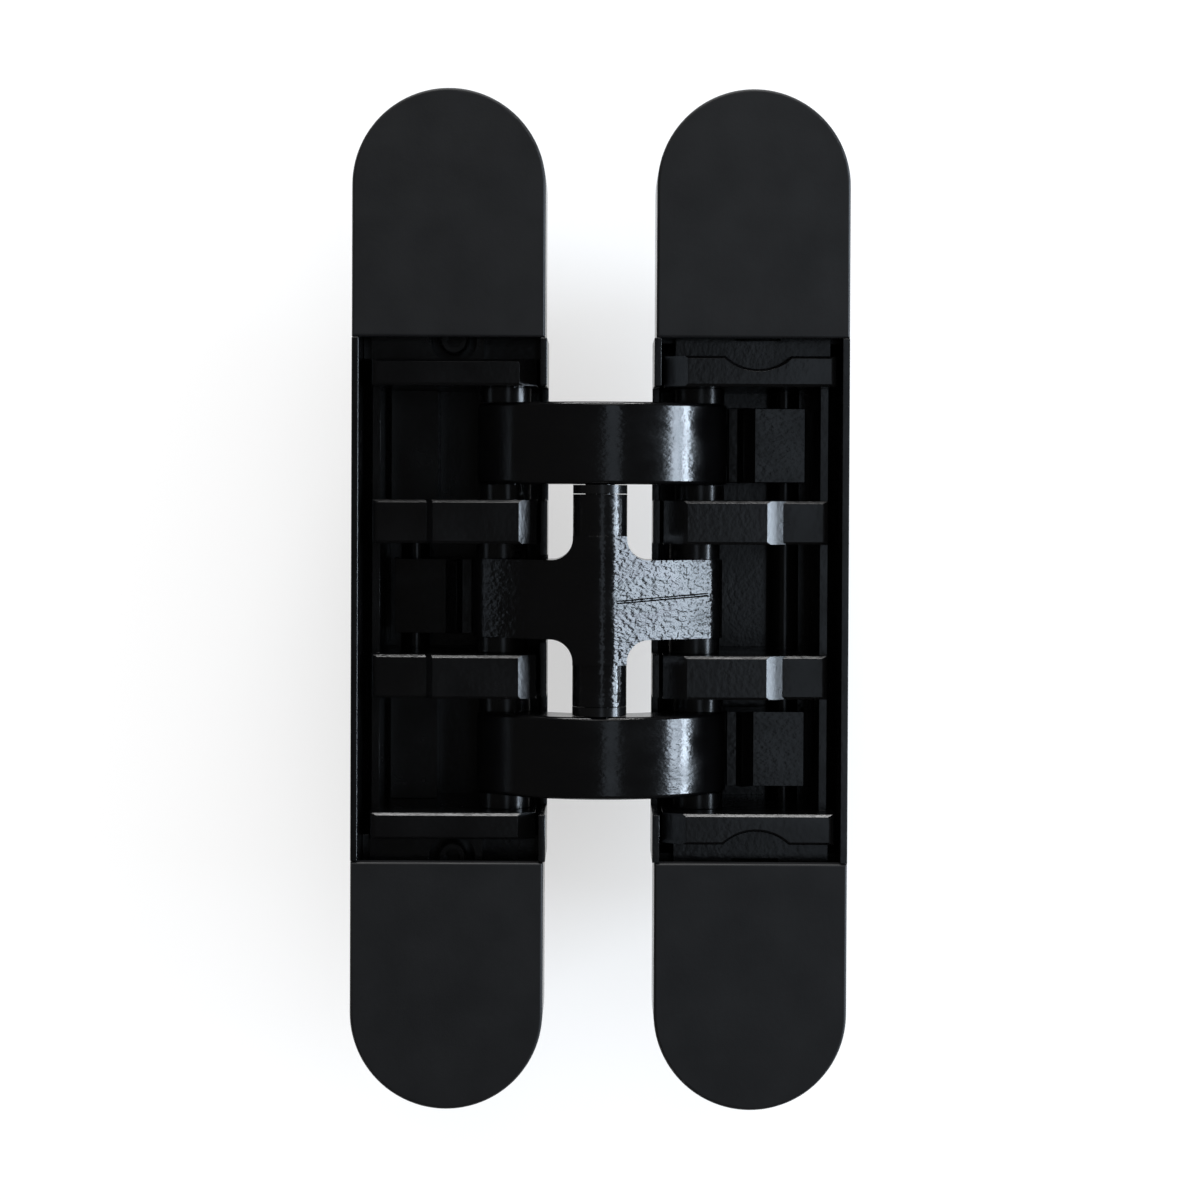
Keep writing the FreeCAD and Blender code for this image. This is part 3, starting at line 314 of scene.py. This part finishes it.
print("backdrop faces", [tuple(round(c, 2) for c in p.normal) for p in sheet.data.polygons])

# %% [markdown]
# ## Camera
# The photograph looks straight at the leaves from a little above their middle, close enough that the
# pockets' upper walls show. The lens is shifted, as a view camera's is, so that the camera needs
# little tilt and the leaves stay parallel. The turn of a quarter of a degree is the photograph's own.

# %% Place the camera
distance, height = 0.320, 0.012
look_down, frame_turn = math.radians(0.915), math.radians(0.256)
bpy.ops.object.camera_add(location=(0.0, -distance, height))
camera = bpy.context.object
camera.name = "camera"
camera.rotation_mode = "XYZ"
camera.rotation_euler = (math.radians(90) - look_down, 0, 0)
camera.rotation_euler.rotate_axis("Z", frame_turn)
camera.data.sensor_width = 36.0
camera.data.lens = 84.36
camera.data.shift_y = -0.05
camera.data.clip_start = 0.01
bpy.context.scene.camera = camera
print("lens %.1f mm at %.3f m" % (camera.data.lens, distance))

# %% [markdown]
# ## Light
# Five lamps stand round the hinge. The keys are two tall strips far to the right: only faces that
# turn by about a third of a right angle mirror them, so they draw the bright bands on the links and
# leave the flat fronts black. A weak panel behind the camera lights the right leaf's fronts, a small
# one above keeps the caps from going dead, and a strip overhead draws the thin bright lines along the
# ribs' and arms' upper corners. The room is dim where gloss mirrors it, and bright for the sheet
# alone, which then shows soft shadows near the leaves.


# %% Five soft lamps
def soft_lamp(name, azimuth, elevation, reach, width, height, radiance, tint=(1, 1, 1)):
    """An area lamp aimed at the hinge; azimuth turns from the camera's side to the right."""
    turn, rise = math.radians(azimuth), math.radians(elevation)
    level = Vector((math.sin(turn), -math.cos(turn), 0)) * math.cos(rise)
    place = (level + Vector((0, 0, math.sin(rise)))) * reach
    bpy.ops.object.light_add(type="AREA", location=place)
    lamp = bpy.context.object
    lamp.name = name
    lamp.data.shape = "RECTANGLE"
    lamp.data.size, lamp.data.size_y = width, height
    lamp.data.energy = radiance * math.pi * width * height
    lamp.data.color = tint
    lamp.rotation_mode = "QUATERNION"
    lamp.rotation_quaternion = (-place).to_track_quat("-Z", "Y")
    return lamp


COOL = (0.74, 0.86, 1.0)
soft_lamp("key_right", 67, 4, 0.50, 0.08, 0.25, 16.5, COOL)
soft_lamp("key_edge", 78, 4, 0.50, 0.05, 0.30, 34.0, COOL)
soft_lamp("panel_front", 10, -2, 0.70, 0.15, 0.36, 0.60, COOL)
soft_lamp("fill_top", 4, 42, 0.60, 0.30, 0.20, 1.1)
soft_lamp("strip_top", 0, 78, 0.50, 0.40, 0.10, 13.0)

# %% A room that gloss, sheet and camera see differently
world = bpy.context.scene.world or bpy.data.worlds.new("room")
bpy.context.scene.world = world
world.use_nodes = True
world.cycles.sampling_method = "NONE"
nodes, links = world.node_tree.nodes, world.node_tree.links
nodes.clear()
out = nodes.new("ShaderNodeOutputWorld")
rays = nodes.new("ShaderNodeLightPath")


def grey(strength):
    shade = nodes.new("ShaderNodeBackground")
    shade.inputs["Color"].default_value = (1, 1, 1, 1)
    shade.inputs["Strength"].default_value = strength
    return shade


def choose(ray, otherwise, chosen):
    mix = nodes.new("ShaderNodeMixShader")
    links.new(rays.outputs[ray], mix.inputs["Fac"])
    links.new(otherwise, mix.inputs[1])
    links.new(chosen, mix.inputs[2])
    return mix.outputs["Shader"]


room = choose("Is Diffuse Ray", grey(0.035).outputs["Background"], grey(0.9).outputs["Background"])
room = choose("Is Camera Ray", room, grey(1.0).outputs["Background"])
links.new(room, out.inputs["Surface"])
bpy.context.scene.view_settings.view_transform = "Standard"
